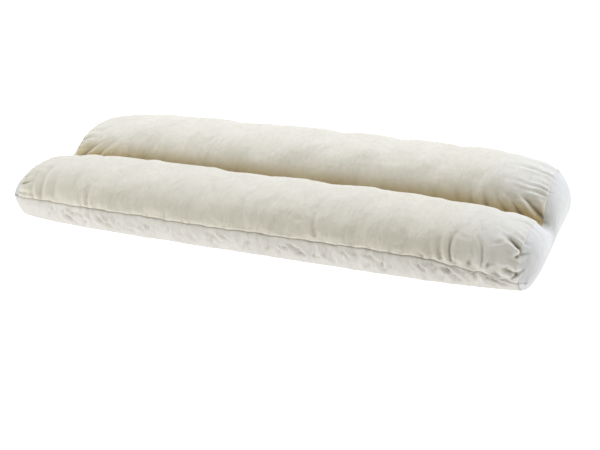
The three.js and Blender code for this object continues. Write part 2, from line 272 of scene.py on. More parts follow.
class PillowForm:
    """The shape of the pillow, worked out from its sizes. Grids hold x, y, z, angle in degrees and roll."""

    def __init__(self, sizes):
        self.half_width = {FRONT: sizes.front_width / 2, BACK: sizes.back_width / 2}
        self.height = {FRONT: sizes.front_height, BACK: sizes.back_height}
        self.channel_y = self.half_width[FRONT] - self.half_width[BACK]
        self.seam_x = sizes.length / 2 - sizes.end_bulge
        self.bulge = sizes.end_bulge
        self.channel_level = sizes.channel_level
        self.channel_end_level = sizes.channel_end_level
        self.stations = self.seam_x * (2 * crowded(STATIONS, 0.5) - 1)

    def girth_radius(self, side):
        return (self.height[side] / 2 + self.half_width[side]) / 2

    def end_share(self, x):
        return np.clip((np.abs(x) - (self.seam_x - TAPER_LENGTH)) / TAPER_LENGTH, 0, 1)

    def taper(self, x, hard_share):
        e = self.end_share(x)
        soft = e ** TAPER_SOFT_POWER
        hard = 1 - np.sqrt(1 - (e * END_SLOPE_LIMIT) ** TAPER_HARD_POWER)
        return (1 - hard_share) * soft + hard_share * hard

    def section(self, side, x):
        swell = sum(h * np.sin(2 * np.pi * x / length + phase + side) for h, length, phase in FILL_SWELLS)
        height = self.height[side] + SLOPES[side] * x + swell * (1 - self.end_share(x) ** 2)
        height = height * (1 - HEIGHT_TAPER * self.taper(x, HEIGHT_HARD_SHARE))
        narrowing = self.taper(x, WIDTH_HARD_SHARE)
        return Section(
            self.channel_y + side * self.half_width[side],
            self.half_width[side] * (1 - OUTER_TAPER * narrowing),
            self.half_width[side] * (1 - INNER_TAPER * narrowing),
            height,
            height * WIDEST_LEVEL,
        )

    def on_roll(self, side, x, angle):
        """Points of a roll's section: angle 0 faces away from the channel, a quarter turn is the crown."""
        s = self.section(side, x)
        across, up = np.cos(angle), np.sin(angle)
        reach = np.where(across > 0, s.outer, s.inner)
        rise = np.where(up > 0, s.height - s.widest, s.widest + FLOOR_PRESS)
        y = s.centre + side * reach * signed_power(across, 2 / SIDE_POWER)
        z = np.maximum(s.widest + rise * signed_power(up, 2 / CROWN_POWER), 0)
        x, y, z, angle = np.broadcast_arrays(x, y, z, angle)
        return np.stack([x, y, z, np.degrees(angle), np.full_like(y, side)], axis=2)

    def angle_at(self, side, x, z):
        s = self.section(side, x)
        above = z - s.widest
        rise = np.where(above > 0, s.height - s.widest, s.widest + FLOOR_PRESS)
        share = np.minimum(np.abs(above) / rise, 1) ** (CROWN_POWER / 2)
        return np.sign(above) * np.arcsin(share)

    def seam_angle(self, side, x):
        share = np.clip((x - SEAM_DIP_FROM) / (self.seam_x - SEAM_DIP_FROM), 0, 1)
        level = LONG_SEAM_LEVEL - SEAM_DIP_DEPTH * share ** SEAM_DIP_POWER
        for height, length, phase in SEAM_WOBBLES:
            level = level + height * (0.4 + share) * np.sin(2 * np.pi * x / length + phase)
        return self.angle_at(side, x, self.section(side, x).height * level)

    def channel_height(self, x):
        drop = self.taper(x, HEIGHT_HARD_SHARE)
        return self.channel_level - (self.channel_level - self.channel_end_level) * drop

    def top_grid(self):
        """The top cloth, from the front long seam over the channel to the back long seam."""
        x = self.stations[:, None]
        t = np.linspace(0, 1, FINE_STEPS)
        level = self.channel_height(x)
        halves = {}
        for side in (FRONT, BACK):
            first = self.seam_angle(side, x)
            last = np.pi - self.angle_at(side, x, level + CHANNEL_LIP)
            fine = self.on_roll(side, x, first + (last - first) * t)
            halves[side] = respaced(fine, crowded(ROLL_COLUMNS[side], 0.45))
        front, back = halves[FRONT], halves[BACK][:, ::-1]
        share = np.linspace(0, 1, CHANNEL_COLUMNS + 2)[None, 1:-1, None]
        channel = front[:, -1:] * (1 - share) + back[:, :1] * share
        channel[..., 2] -= CHANNEL_LIP * 4 * share[..., 0] * (1 - share[..., 0])
        channel[..., 3] = 180
        return np.concatenate([front, channel, back], axis=1)

    def base_grid(self):
        """The cloth of the underside, from the front long seam under the pillow to the back long seam."""
        x = self.stations[:, None]
        t = np.linspace(0, 1, FINE_STEPS)
        side_shares = crowded(BASE_SIDE_COLUMNS, 0.4)
        parts = {}
        for side in (FRONT, BACK):
            first = self.seam_angle(side, x)
            last = self.angle_at(side, x, 0)
            wall = respaced(self.on_roll(side, x, first + (last - first) * t), side_shares)
            edge = self.channel_y + side * HOLLOW_HALF_WIDTH
            share = np.linspace(0, 1, BASE_FLAT_COLUMNS + 2)[None, 1:-1]
            flat = np.repeat(wall[:, -1:], BASE_FLAT_COLUMNS, axis=1)
            flat[..., 1] = wall[:, -1:, 1] * (1 - share) + edge * share
            flat[..., 2] = 0
            parts[side] = np.concatenate([wall, flat], axis=1)
        across = np.linspace(FRONT, BACK, HOLLOW_COLUMNS)[None, :, None]
        hollow = np.repeat(parts[FRONT][:, -1:], HOLLOW_COLUMNS, axis=1)
        hollow[..., 1] = self.channel_y + HOLLOW_HALF_WIDTH * across[..., 0]
        hollow[..., 2] = HOLLOW_RISE * np.cos(across[..., 0] * np.pi / 2) ** 2
        return np.concatenate([parts[FRONT], hollow, parts[BACK][:, ::-1]], axis=1)

    def end_bulge_share(self, end, y, down):
        lobes = []
        for side in (FRONT, BACK):
            s = self.section(side, end * self.seam_x)
            off = (y - s.centre) / np.where((y - s.centre) * side > 0, s.outer, s.inner * BULGE_WEB_REACH)
            full = LEFT_BACK_BULGE if (end, side) == (LEFT, BACK) else 1
            lobes.append(full * np.sqrt(np.clip(1 - off ** 2, 0, 1)))
        together = (lobes[0] ** 5 + lobes[1] ** 5) ** 0.2
        return (4 * down * (1 - down)) ** BULGE_POWER * np.minimum(together, 1)


class Fold(NamedTuple):
    """A soft trough with low ridges beside it. Its ends are given by x and by the angle round a roll.

    Lengths are in millimetres and angles in degrees. A negative depth makes a ridge. The depth falls to
    the share kept at the second end, and bend moves the middle of the fold sideways."""

    roll: int
    x: tuple
    angle: tuple
    depth: float
    width: float
    ridge: float = 0.35
    kept: float = 0.2
    bend: float = 0.0


# Folds and tucks that show from the front, from the front roll's wall to the channel's right end
NAMED_FOLDS = (
    Fold(FRONT, (255, 253), (13, 54), 3.0, 2.1, 0.5, 0.35, 2.5),
    Fold(FRONT, (262, 260), (16, 40), -1.1, 5.0, 0.0, 0.4),
    Fold(FRONT, (289, 280), (11, 52), 2.4, 2.0, 0.5, 0.25, -3.5),
    Fold(FRONT, (244, 238), (15, 42), 2.2, 2.6, 0.5, 0.3, 1.0),
    Fold(FRONT, (231, 229), (14, 34), 0.9, 3.4),
    Fold(FRONT, (205, 203), (14, 36), 0.7, 4.0),
    Fold(FRONT, (306, 300), (2, 30), 1.5, 4.5, 0.4, 0.3, 2.0),
    Fold(FRONT, (93, 84), (20, 50), 1.8, 2.6, 0.4, 0.4, 1.5),
    Fold(FRONT, (116, 108), (-24, 8), 1.5, 3.4, 0.5, 0.4),
    Fold(FRONT, (78, 70), (-26, -4), 1.1, 3.2, 0.6, 0.3),
    Fold(FRONT, (-213, -219), (14, 44), 2.1, 2.6, 0.4, 0.35, 1.0),
    Fold(FRONT, (-212, -205), (10, -26), 1.2, 3.2, 0.4, 0.5),
    Fold(FRONT, (-127, -130), (-27, -8), -2.2, 2.4, 0.0, 0.5),
    Fold(FRONT, (-286, -297), (16, 74), 1.5, 4.2, 0.4, 0.5, 2.0),
    Fold(FRONT, (-304, -310), (20, 66), 1.0, 3.8, 0.4, 0.5),
    Fold(FRONT, (-268, -276), (24, 60), 0.8, 4.4),
    Fold(FRONT, (-240, -246), (40, 70), 0.7, 5.0),
    Fold(FRONT, (330, 303), (43, 67), 6.5, 3.6, 0.5, 0.1, -2.0),
    Fold(FRONT, (330, 300), (52, 73), -2.4, 3.6, 0.0, 0.2, -2.0),
    Fold(FRONT, (330, 298), (60, 79), 2.4, 3.4, 0.3, 0.15),
    Fold(FRONT, (330, 304), (68, 84), -1.4, 3.6, 0.0, 0.2),
    Fold(FRONT, (330, 309), (3, 12), 6.0, 3.4, 0.3, 0.1),
    Fold(FRONT, (330, 312), (22, 30), 1.6, 3.6),
    Fold(FRONT, (-330, -306), (38, 46), 5.0, 3.4, 0.5, 0.1),
    Fold(FRONT, (-330, -300), (52, 58), 1.6, 3.6),
    Fold(FRONT, (325, 331), (33, 43), 6.0, 2.0, 0.4, 0.9),
    Fold(FRONT, (324, 331), (-5, 7), 5.5, 2.0, 0.4, 0.9),
    Fold(FRONT, (240, 232), (-2, -20), 1.8, 3.2, 0.6, 0.2),
    Fold(FRONT, (252, 266), (-2, -27), 2.6, 3.0, 0.8, 0.5, 2.0),
    Fold(FRONT, (258, 272), (-4, -27), -1.6, 2.6, 0.0, 0.6, 2.0),
    Fold(FRONT, (284, 276), (-2, -22), 1.8, 3.2, 0.6, 0.2),
    Fold(FRONT, (300, 318), (-4, -16), -2.6, 3.0, 0.4, 0.9),
    Fold(FRONT, (300, 316), (-12, -24), 2.2, 2.6, 0.4, 0.6),
    Fold(BACK, (330, 288), (166, 138), 5.5, 5.0, 0.5, 0.12, 3.0),
    Fold(BACK, (318, 284), (168, 134), -3.2, 4.6, 0.0, 0.2, 2.0),
    Fold(BACK, (304, 274), (170, 140), 4.2, 4.6, 0.4, 0.15, 2.0),
    Fold(BACK, (286, 264), (170, 142), 3.4, 4.8, 0.5, 0.15),
    Fold(BACK, (262, 251), (170, 145), 2.8, 4.0, 0.5, 0.2),
    Fold(BACK, (243, 236), (170, 142), 2.4, 3.8, 0.5, 0.2),
    Fold(BACK, (225, 220), (170, 148), 1.8, 3.8, 0.5, 0.2),
    Fold(BACK, (196, 190), (170, 152), 1.3, 4.2, 0.4, 0.2),
    Fold(BACK, (-320, -286), (166, 138), 5.0, 5.0, 0.5, 0.12, -3.0),
    Fold(BACK, (-300, -272), (170, 140), 3.6, 4.8, 0.4, 0.15),
    Fold(BACK, (-276, -258), (170, 146), 2.6, 4.4, 0.4, 0.15),
    Fold(FRONT, (328, 288), (164, 130), 5.0, 5.0, 0.5, 0.12),
    Fold(FRONT, (300, 272), (168, 138), 3.2, 4.8, 0.4, 0.15),
    Fold(FRONT, (-326, -288), (164, 130), 5.0, 5.0, 0.5, 0.12),
    Fold(FRONT, (-298, -270), (168, 140), 3.2, 4.8, 0.4, 0.15),
    Fold(BACK, (330, 302), (30, 42), 5.0, 3.6, 0.5, 0.1),
    Fold(BACK, (-330, -302), (28, 40), 5.0, 3.6, 0.5, 0.1),
)


def gathers(seed, roll, end, angles, depth, reach):
    """Small pleats that run in from an end seam, unevenly spaced round the roll."""
    rng = np.random.default_rng(seed)
    pitch = 10.5
    low, high = angles
    folds = []
    angle = low
    while angle < high:
        length = reach * rng.uniform(0.55, 1.25)
        turn = rng.uniform(-3, 3)
        folds.append(Fold(
            roll, (end * SEAM_END, end * (SEAM_END - length)), (angle, angle + turn),
            depth * rng.uniform(0.4, 1.4), rng.uniform(1.8, 3.4), 0.55, 0.08, rng.uniform(-1.5, 1.5)))
        angle += pitch * rng.uniform(0.6, 1.6)
    return folds


def seam_puckers(seed, roll, side_angle, depth):
    """Short creases that cross a long seam where its thread draws the cloth in."""
    rng = np.random.default_rng(seed)
    folds = []
    x = -PUCKER_REACH
    while x < PUCKER_REACH:
        length = rng.uniform(7, 20)
        pull = depth * rng.uniform(0.3, 1.2) * (1.0 + 0.9 * (x > LOOSE_SEAM_FROM))
        folds.append(Fold(
            roll, (x, x + rng.uniform(-3, 3)), (side_angle, side_angle + length),
            pull, rng.uniform(2.4, 4.2), 0.4, 0.05))
        folds.append(Fold(
            roll, (x, x + rng.uniform(-4, 4)), (side_angle, side_angle - 0.8 * length),
            pull, rng.uniform(2.4, 4.2), 0.4, 0.05))
        x += rng.uniform(9, 26)
    return folds


def channel_folds(seed, roll):
    """Folds that rise from the channel's stitching up a roll's inner wall, stronger near the ends."""
    rng = np.random.default_rng(seed)
    folds = []
    x = -CHANNEL_FOLD_REACH
    while x < CHANNEL_FOLD_REACH:
        strength = 0.7 + 1.3 * (abs(x) / CHANNEL_FOLD_REACH) ** 2
        lean = rng.uniform(-7, 7) + 0.02 * x
        folds.append(Fold(
            roll, (x, x - lean), (172, 172 - rng.uniform(16, 36)),
            strength * rng.uniform(0.5, 1.2), rng.uniform(3.4, 6.0), 0.5, 0.05))
        x += rng.uniform(11, 27)
    return folds


def base_crumples(seed, roll, count):
    """Short slanting creases of the lower wall, where the weight rests on the cloth."""
    rng = np.random.default_rng(seed)
    folds = []
    for _ in range(count):
        x = rng.uniform(-300, 310)
        top = rng.uniform(-16, 2)
        folds.append(Fold(
            roll, (x, x + rng.uniform(-14, 14)), (top, top - rng.uniform(8, 20)),
            rng.uniform(0.7, 2.4), rng.uniform(1.8, 3.6), 0.6, 0.3, rng.uniform(-2, 2)))
    return folds


def wall_creases(seed, roll, count):
    """Faint slanting creases of the filled cloth, from the long seam up to the crown and beyond."""
    rng = np.random.default_rng(seed)
    folds = []
    for _ in range(count):
        x = rng.uniform(-300, 300)
        low = rng.uniform(16, 120)
        folds.append(Fold(
            roll, (x, x + rng.uniform(-22, 22)), (low, low + rng.uniform(6, 24)),
            rng.uniform(0.25, 0.8), rng.uniform(2.4, 4.5), 0.5, 0.2, rng.uniform(-3, 3)))
    return folds


def all_folds():
    folds = list(NAMED_FOLDS)
    folds += gathers(11, BACK, RIGHT, (58, 150), 1.5, 52)
    folds += gathers(12, FRONT, RIGHT, (88, 158), 1.2, 26)
    folds += gathers(13, BACK, LEFT, (40, 150), 1.9, 32)
    folds += gathers(14, FRONT, LEFT, (20, 150), 1.4, 28)
    folds += seam_puckers(21, FRONT, 13, 1.0)
    folds += seam_puckers(22, BACK, 13, 1.0)
    folds += channel_folds(31, FRONT)
    folds += channel_folds(32, BACK)
    folds += base_crumples(41, FRONT, 80)
    folds += base_crumples(42, BACK, 50)
    folds += wall_creases(51, FRONT, 26)
    folds += wall_creases(52, BACK, 20)
    return folds


class ClothRelief:
    """Height of folds, seams and uneven filling over a grid, in metres outwards."""

    def __init__(self, form):
        self.form = form
        self.folds = all_folds()

    def one_fold(self, fold, x, angle, radius):
        start = np.array([fold.x[0], math.radians(fold.angle[0]) * radius])
        along = np.array([fold.x[1], math.radians(fold.angle[1]) * radius]) - start
        length = np.linalg.norm(along)
        along = along / length
        dx, da = x - start[0], angle * radius - start[1]
        share = (dx * along[0] + da * along[1]) / length
        inside = np.clip(share, 0, 1)
        beyond = (share - inside) * length
        off = dx * -along[1] + da * along[0] - fold.bend * 4 * inside * (1 - inside)
        width = fold.width * (1 + 0.5 * inside)
        fade = 1 + (fold.kept - 1) * inside
        crease = np.exp(-np.abs(off) / (CREASE_SHARE * width))
        trough = (1 - CREASE_WEIGHT) * np.exp(-(off / width) ** 2) + CREASE_WEIGHT * crease
        ridges = fold.ridge * np.exp(-((np.abs(off) - 1.9 * width) / (0.9 * width)) ** 2)
        return -fold.depth * fade * (trough - ridges) * np.exp(-(beyond / width) ** 2)

    def fold_height(self, grid):
        x = grid[..., 0] / MM
        angle = np.radians(grid[..., 3])
        height = np.zeros_like(x)
        for side in (FRONT, BACK):
            radius = self.form.girth_radius(side) / MM
            columns = np.any(grid[..., 4] == side, axis=0)
            part = sum(
                self.one_fold(f, x[:, columns], angle[:, columns], radius)
                for f in self.folds if f.roll == side)
            height[:, columns] = part
        return height * MM

    def swells(self, grid):
        x = grid[..., 0] / MM
        a = np.radians(grid[..., 3]) * 60 * grid[..., 4]
        waves = (
            (0.30, 0.085, 0.021, 0.3), (0.26, -0.061, 0.044, 1.9), (0.20, 0.142, -0.033, 4.1),
            (0.16, 0.211, 0.058, 2.6), (0.12, -0.290, 0.090, 5.3), (0.10, 0.37, 0.02, 0.9))
        return MM * sum(h * np.sin(kx * x + ka * a + phase) for h, kx, ka, phase in waves)

    def seam_distances(self, grid):
        """Distances of the points from the long seams and from the end seams, in millimetres."""
        arcs = row_arcs(grid[..., :3])
        from_long = np.minimum(arcs, arcs[:, -1:] - arcs) / MM
        from_end = (self.form.seam_x - np.abs(grid[..., 0])) / MM
        return from_long, from_end

    def on_top(self, grid):
        from_long, from_end = self.seam_distances(grid)
        clear_of_channel = 1 - blend_step(np.abs(grid[..., 3]), *CHANNEL_EDGE)
        soft = 1 - np.exp(-from_long / 2)
        ends = 1 - np.exp(-from_end / 5)
        at_end = 0.35 * (1 - blend_step(np.abs(grid[..., 3]), 110, 145))
        ends = ends * blend_step(from_end, 0, 4)
        kept = at_end + (1 - at_end) * ends
        height = self.fold_height(grid) * (0.25 + 0.75 * clear_of_channel) * soft * kept
        height += self.swells(grid) * clear_of_channel * soft * ends
        height -= seam_groove(from_long) + seam_groove(from_end) * clear_of_channel
        return height

    def loose(self, grid):
        """Where the cloth may move: not at its seams, nor in the channel."""
        from_long, from_end = self.seam_distances(grid)
        free = blend_step(from_long, 0, 6) * blend_step(from_end, 0, 8)
        return free * (1 - blend_step(np.abs(grid[..., 3]), 160, 176))

    def on_base(self, grid):
        from_long, from_end = self.seam_distances(grid)
        above_floor = blend_step(grid[..., 2] / MM, 0.5, 9) * (np.abs(grid[..., 3]) < 80)
        soft = 1 - np.exp(-from_long / 2)
        ends = 1 - np.exp(-from_end / 5)
        height = (self.fold_height(grid) + self.swells(grid)) * above_floor * soft * ends
        height -= (seam_groove(from_long) + seam_groove(from_end)) * blend_step(grid[..., 2] / MM, 0, 3)
        return height


def seam_groove(distance):
    """Depth of the cloth near a seam: a narrow groove in a soft dip. The distance is in millimetres."""
    return MM * (1.6 * np.exp(-(distance / 0.9) ** 2) + 0.25 * np.exp(-(distance / 5) ** 2))


def raised(grid, height):
    """A grid's points moved out along their face directions, and not below the floor."""
    points = grid[..., :3] + height[..., None] * face_directions(grid[..., :3])
    points[..., 2] = np.maximum(points[..., 2], 0)
    return points


def deselect_all():
    if bpy.context.object and bpy.context.object.mode != "OBJECT":
        bpy.ops.object.mode_set(mode="OBJECT")
    bpy.ops.object.select_all(action="DESELECT")


def choose(obj):
    deselect_all()
    obj.select_set(True)
    bpy.context.view_layer.objects.active = obj


def lay_panel(name, points, flipped=False):
    """A flat grid with a point for each of the given ones, moved into their places.

    Its UV map holds the place on the cloth in metres: along the pillow and along the row."""
    rows, columns = points.shape[:2]
    deselect_all()
    bpy.ops.mesh.primitive_grid_add(x_subdivisions=columns - 1, y_subdivisions=rows - 1, size=1)
    panel = bpy.context.object
    panel.name = name
    panel.data.name = name
    mesh = panel.data
    mesh.vertices.foreach_set("co", points.reshape(-1).astype(np.float32))
    arcs = row_arcs(points)
    arcs = arcs - arcs[:, columns // 2][:, None]
    along = np.concatenate([[0], np.cumsum(np.linalg.norm(np.diff(points[:, columns // 2], axis=0), axis=1))])
    cloth = np.stack([np.broadcast_to(along[:, None], arcs.shape), arcs], axis=2).reshape(-1, 2)
    corners = np.empty(len(mesh.loops), dtype=np.int32)
    mesh.loops.foreach_get("vertex_index", corners)
    mesh.uv_layers.active.data.foreach_set("uv", cloth[corners].reshape(-1).astype(np.float32))
    if flipped:
        mesh.flip_normals()
    mesh.update()
    return panel


def store(obj, name, values):
    """Keeps a number for each point of a mesh, for its material."""
    attribute = obj.data.attributes.new(name, "FLOAT", "POINT")
    attribute.data.foreach_set("value", values.reshape(-1).astype(np.float32))


def apply_modifiers(obj):
    choose(obj)
    for modifier in list(obj.modifiers):
        bpy.ops.object.modifier_apply(modifier=modifier.name)


def give_thickness(obj, thickness):
    modifier = obj.modifiers.new("thickness", "SOLIDIFY")
    modifier.thickness = thickness
    modifier.offset = -1
    apply_modifiers(obj)


def join_panels(name, panels):
    """Panels joined along the edges that they share, into one closed piece."""
    deselect_all()
    for panel in panels:
        panel.select_set(True)
    bpy.context.view_layer.objects.active = panels[0]
    bpy.ops.object.join()
    piece = bpy.context.object
    piece.name = name
    piece.data.name = name
    bpy.ops.object.mode_set(mode="EDIT")
    bpy.ops.mesh.select_all(action="SELECT")
    bpy.ops.mesh.remove_doubles(threshold=MERGE_DISTANCE)
    bpy.ops.mesh.normals_make_consistent(inside=False)
    bpy.ops.object.mode_set(mode="OBJECT")
    bpy.ops.object.shade_smooth()
    return piece


def mark_shade(obj, form):
    """Stores the painted shade for each point deep in the channel, and the painted light that makes the top
    cloth paler towards the right end.
    """
    points = np.empty(len(obj.data.vertices) * 3, np.float32)
    obj.data.vertices.foreach_get("co", points)
    points = points.reshape(-1, 3)
    off = np.abs(points[:, 1] - form.channel_y) / MM
    deep = (1 - blend_step(off, *SHADE_REACH)) * (1 - blend_step(points[:, 2] / MM, *SHADE_LEVELS))
    store(obj, "channel_painted_shade", deep)
    store(obj, "right_end_painted_light", 0.75 * blend_step(points[:, 0] / MM, *PAINTED_LIGHT_REACH) * (1 - deep))


class Cloths:
    """The finished grids of all cloths, which share their edges along the seams."""

    def __init__(self, sizes):
        self.form = PillowForm(sizes)
        relief = ClothRelief(self.form)
        top = self.form.top_grid()
        base = self.form.base_grid()
        top_height = relief.on_top(top)
        base_height = relief.on_base(base)
        self.top = raised(top, top_height)
        channel = np.flatnonzero(top[0, :, 3] == 180)
        folds = finer(Inflation(self.top, raised(base, -base_height), channel).run(), *top.shape[:2])
        self.top = raised(self.top, folds * relief.loose(top))
        # the base row runs under the pillow, so its face directions point into it
        self.base = raised(base, -base_height)
        # painted shade: how dark each point is coloured in its creases, by their depth
        self.top_shade = np.clip(-relief.fold_height(top) / SHADE_DEPTH, 0, 1)
        self.base_shade = np.clip(-relief.fold_height(base) / SHADE_DEPTH, 0, 1)
        for column in (0, -1):
            seam = (self.top[:, column] + self.base[:, column]) / 2
            self.top[:, column] = seam
            self.base[:, column] = seam

    def lining(self):
        """The hidden underside of the body, a little inside the base cloth."""
        arcs = row_arcs(self.base)
        from_seam = np.minimum(arcs, arcs[:, -1:] - arcs)[..., None]
        depth = BODY_CLEARANCE * (1 - np.exp(-from_seam / MM))
        columns = (self.top.shape[1] - 1) // LINING_STEP + 1
        inner = respaced(self.base + depth * face_directions(self.base), np.linspace(0, 1, columns))
        inner[:, 0], inner[:, -1] = self.top[:, 0], self.top[:, -1]
        return inner

    def end_grid(self, end, top_row, under_row, rows, recess=0):
        """A two-lobed end face between the edges of the top and the underside, set back between them."""
        count = len(top_row)
        under = respaced(under_row[None], np.linspace(0, 1, count))[0]
        top = evened(respaced(top_row[None], np.linspace(0, 1, count))[0])
        blend = np.sin(np.linspace(0, np.pi / 2, rows)) ** 2
        down = blend[:, None]
        keep = np.clip(down * 8, 0, 1)[..., None]
        upper = top_row[None] * (1 - keep) + top[None] * keep
        points = upper * (1 - down[..., None]) + under[None] * down[..., None]
        points[..., 0] += end * self.form.bulge * self.form.end_bulge_share(end, points[..., 1], down)
        inwards = recess * np.clip(20 * np.minimum(down, 1 - down), 0, 1)
        points -= end * inwards[..., None] * face_directions(points)
        if len(under_row) != count:
            step = (count - 1) / (len(under_row) - 1)
            under = under_row[np.rint(np.arange(count) / step).astype(int)]
        points[-1] = under
        return points


def averaged(field, along, across):
    """A grid of numbers averaged over the points within reach along each of its axes."""
    for axis, reach in enumerate((along, across)):
        pad = [(0, 0), (0, 0)]
        pad[axis] = (reach + 1, reach)
        sums = np.cumsum(np.pad(field, pad, mode="edge"), axis=axis)
        ahead = np.take(sums, range(2 * reach + 1, sums.shape[axis]), axis=axis)
        behind = np.take(sums, range(sums.shape[axis] - 2 * reach - 1), axis=axis)
        field = (ahead - behind) / (2 * reach + 1)
    return field


class Inflation:
    """A cloth simulation of the pillow's cover, cut a little too large and blown up by its filling.

    The cover is a tube of points: round the top cloth, then back under the pillow. It is held at the
    seams, at the channel and where it rests on the surface, and what moves between them is its folds."""

    def __init__(self, top, base, channel_columns):
        self.top = top[::SIM_STEP, ::SIM_STEP]
        self.under = base[::SIM_STEP, ::SIM_STEP][:, -2:0:-1]
        self.columns = self.top.shape[1]
        held = np.zeros(self.columns, bool)
        held[[0, -1]] = True
        held[channel_columns // SIM_STEP] = True
        self.held = np.concatenate([held, np.ones(self.under.shape[1], bool)])

    def cover(self):
        ring = np.concatenate([self.top, self.under], axis=1)
        rows, columns = ring.shape[:2]
        first = np.arange(rows - 1)[:, None] * columns
        here = np.arange(columns)[None]
        after = (here + 1) % columns
        second = first + columns
        faces = np.stack([first + here, second + here, second + after, first + after], axis=2)
        mesh = bpy.data.meshes.new("cover")
        mesh.from_pydata(ring.reshape(-1, 3).tolist(), [], faces.reshape(-1, 4).tolist())
        cover = bpy.data.objects.new("cover", mesh)
        bpy.context.collection.objects.link(cover)
        pins = np.broadcast_to(self.held, (rows, columns)).copy()
        pins[[0, -1]] = True
        group = cover.vertex_groups.new(name="held")
        group.add(np.flatnonzero(pins.reshape(-1)).tolist(), 1.0, "REPLACE")
        return cover

    def run(self):
        """How far each point of the top cloth is moved outwards by the filling."""
        cover = self.cover()
        modifier = cover.modifiers.new("cloth", "CLOTH")
        cloth = modifier.settings
        cloth.quality = SIM_QUALITY
        cloth.mass = SIM_MASS
        cloth.tension_stiffness = cloth.compression_stiffness = SIM_STRETCH
        cloth.shear_stiffness = SIM_SHEAR
        cloth.bending_stiffness = SIM_BENDING
        cloth.vertex_group_mass = "held"
        cloth.use_pressure = True
        cloth.uniform_pressure_force = SIM_PRESSURE
        cloth.shrink_min = -SIM_EXCESS
        cloth.effector_weights.gravity = 0
        modifier.collision_settings.use_collision = False
        modifier.point_cache.frame_end = SIM_FRAMES
        scene = bpy.context.scene
        for frame_number in range(1, SIM_FRAMES + 1):
            scene.frame_set(frame_number)
        made = cover.evaluated_get(bpy.context.evaluated_depsgraph_get()).data
        points = np.empty(len(made.vertices) * 3, np.float32)
        made.vertices.foreach_get("co", points)
        moved = points.reshape(len(self.top), -1, 3)[:, :self.columns] - self.top
        scene.frame_set(1)
        bpy.data.objects.remove(cover)
        outwards = averaged(np.sum(moved * face_directions(self.top), axis=2), 1, 1)
        folds = outwards - averaged(outwards, SIM_SMOOTH, 0)
        return SIM_LIMIT * np.tanh(folds / SIM_LIMIT)


def finer(field, rows, columns):
    """A coarse grid of numbers read off at every point of a finer one."""
    across = np.linspace(0, field.shape[1] - 1, columns)
    along = np.linspace(0, field.shape[0] - 1, rows)
    wide = np.stack([np.interp(across, range(field.shape[1]), row) for row in field])
    return np.stack([np.interp(along, range(len(wide)), column) for column in wide.T], axis=1)


made_cloths = {}


def sewn_cloths(sizes):
    """The cloths for these sizes, worked out once for all the pieces."""
    key = tuple(round(getattr(sizes, name), 7) for name in PillowSizes.__annotations__)
    if key not in made_cloths:
        made_cloths[key] = Cloths(sizes)
    return made_cloths[key]


def sizes_and_colours():
    scene = bpy.context.scene
    return scene.pillow_sizes, scene.pillow_colours


def number(value):
    return isinstance(value, (int, float))


class Maths:
    """A shader value that can be added, subtracted and multiplied like a number, and whose sine can be taken.
    """

    def __init__(self, finish, socket):
        self.finish = finish
        self.socket = socket

    def combine(self, operation, left, right=None):
        values = {0: left} if right is None else {0: left, 1: right}
        return self.finish.node("ShaderNodeMath", {"operation": operation}, values).value(0)

    def __add__(self, other):
        return self.combine("ADD", self, other)

    __radd__ = __add__

    def __sub__(self, other):
        return self.combine("SUBTRACT", self, other)

    def __rsub__(self, other):
        return self.combine("SUBTRACT", other, self)

    def __mul__(self, other):
        return self.combine("MULTIPLY", self, other)

    __rmul__ = __mul__

    def sine(self):
        return self.combine("SINE", self)


class MadeNode:
    """A node that has been added to a finish, and its outputs as values."""

    def __init__(self, finish, node):
        self.finish = finish
        self.node = node

    def value(self, name):
        return Maths(self.finish, self.node.outputs[name])


class Finish:
    """A material that is built from nodes."""

    def __init__(self, name):
        self.material = bpy.data.materials.new(name)
        self.material.use_nodes = True
        self.tree = self.material.node_tree
        self.tree.nodes.clear()

    def node(self, kind, settings=None, values=None):
        node = self.tree.nodes.new(kind)
        for name, setting in (settings or {}).items():
            setattr(node, name, setting)
        for name, value in (values or {}).items():
            if isinstance(value, Maths):
                self.tree.links.new(value.socket, node.inputs[name])
            else:
                node.inputs[name].default_value = value
        return MadeNode(self, node)

    def mix(self, factor, first, second):
        """A colour between two others."""
        node = self.tree.nodes.new("ShaderNodeMix")
        node.data_type = "RGBA"
        for socket, value in zip((node.inputs[0], node.inputs[6], node.inputs[7]), (factor, first, second)):
            if isinstance(value, Maths):
                self.tree.links.new(value.socket, socket)
            else:
                socket.default_value = value if number(value) else (*value, 1)
        return Maths(self, node.outputs[2])

    def finish(self, colour, roughness, normal=None, sheen=0.25, glow=0):
        values = {
            "Base Color": colour if isinstance(colour, Maths) else (*colour, 1),
            "Roughness": roughness,
            "Specular IOR Level": 0.2,
            "Sheen Weight": sheen,
            "Sheen Roughness": 0.45,
            "Emission Color": (0.97, 0.985, 1, 1),
            "Emission Strength": glow,
        }
        if normal is not None:
            values["Normal"] = normal
        shader = self.node("ShaderNodeBsdfPrincipled", None, values)
        self.node("ShaderNodeOutputMaterial", None, {"Surface": shader.value("BSDF")})
        return self.material


# Colour of the painted light on the top cloth where it is palest, and the painted shade that darkens a colour
# deep in a crease
PAINTED_END_LIGHT = (0.72, 0.715, 0.685)
CREASE_PAINTED_SHADE = (0.42, 0.37, 0.30)


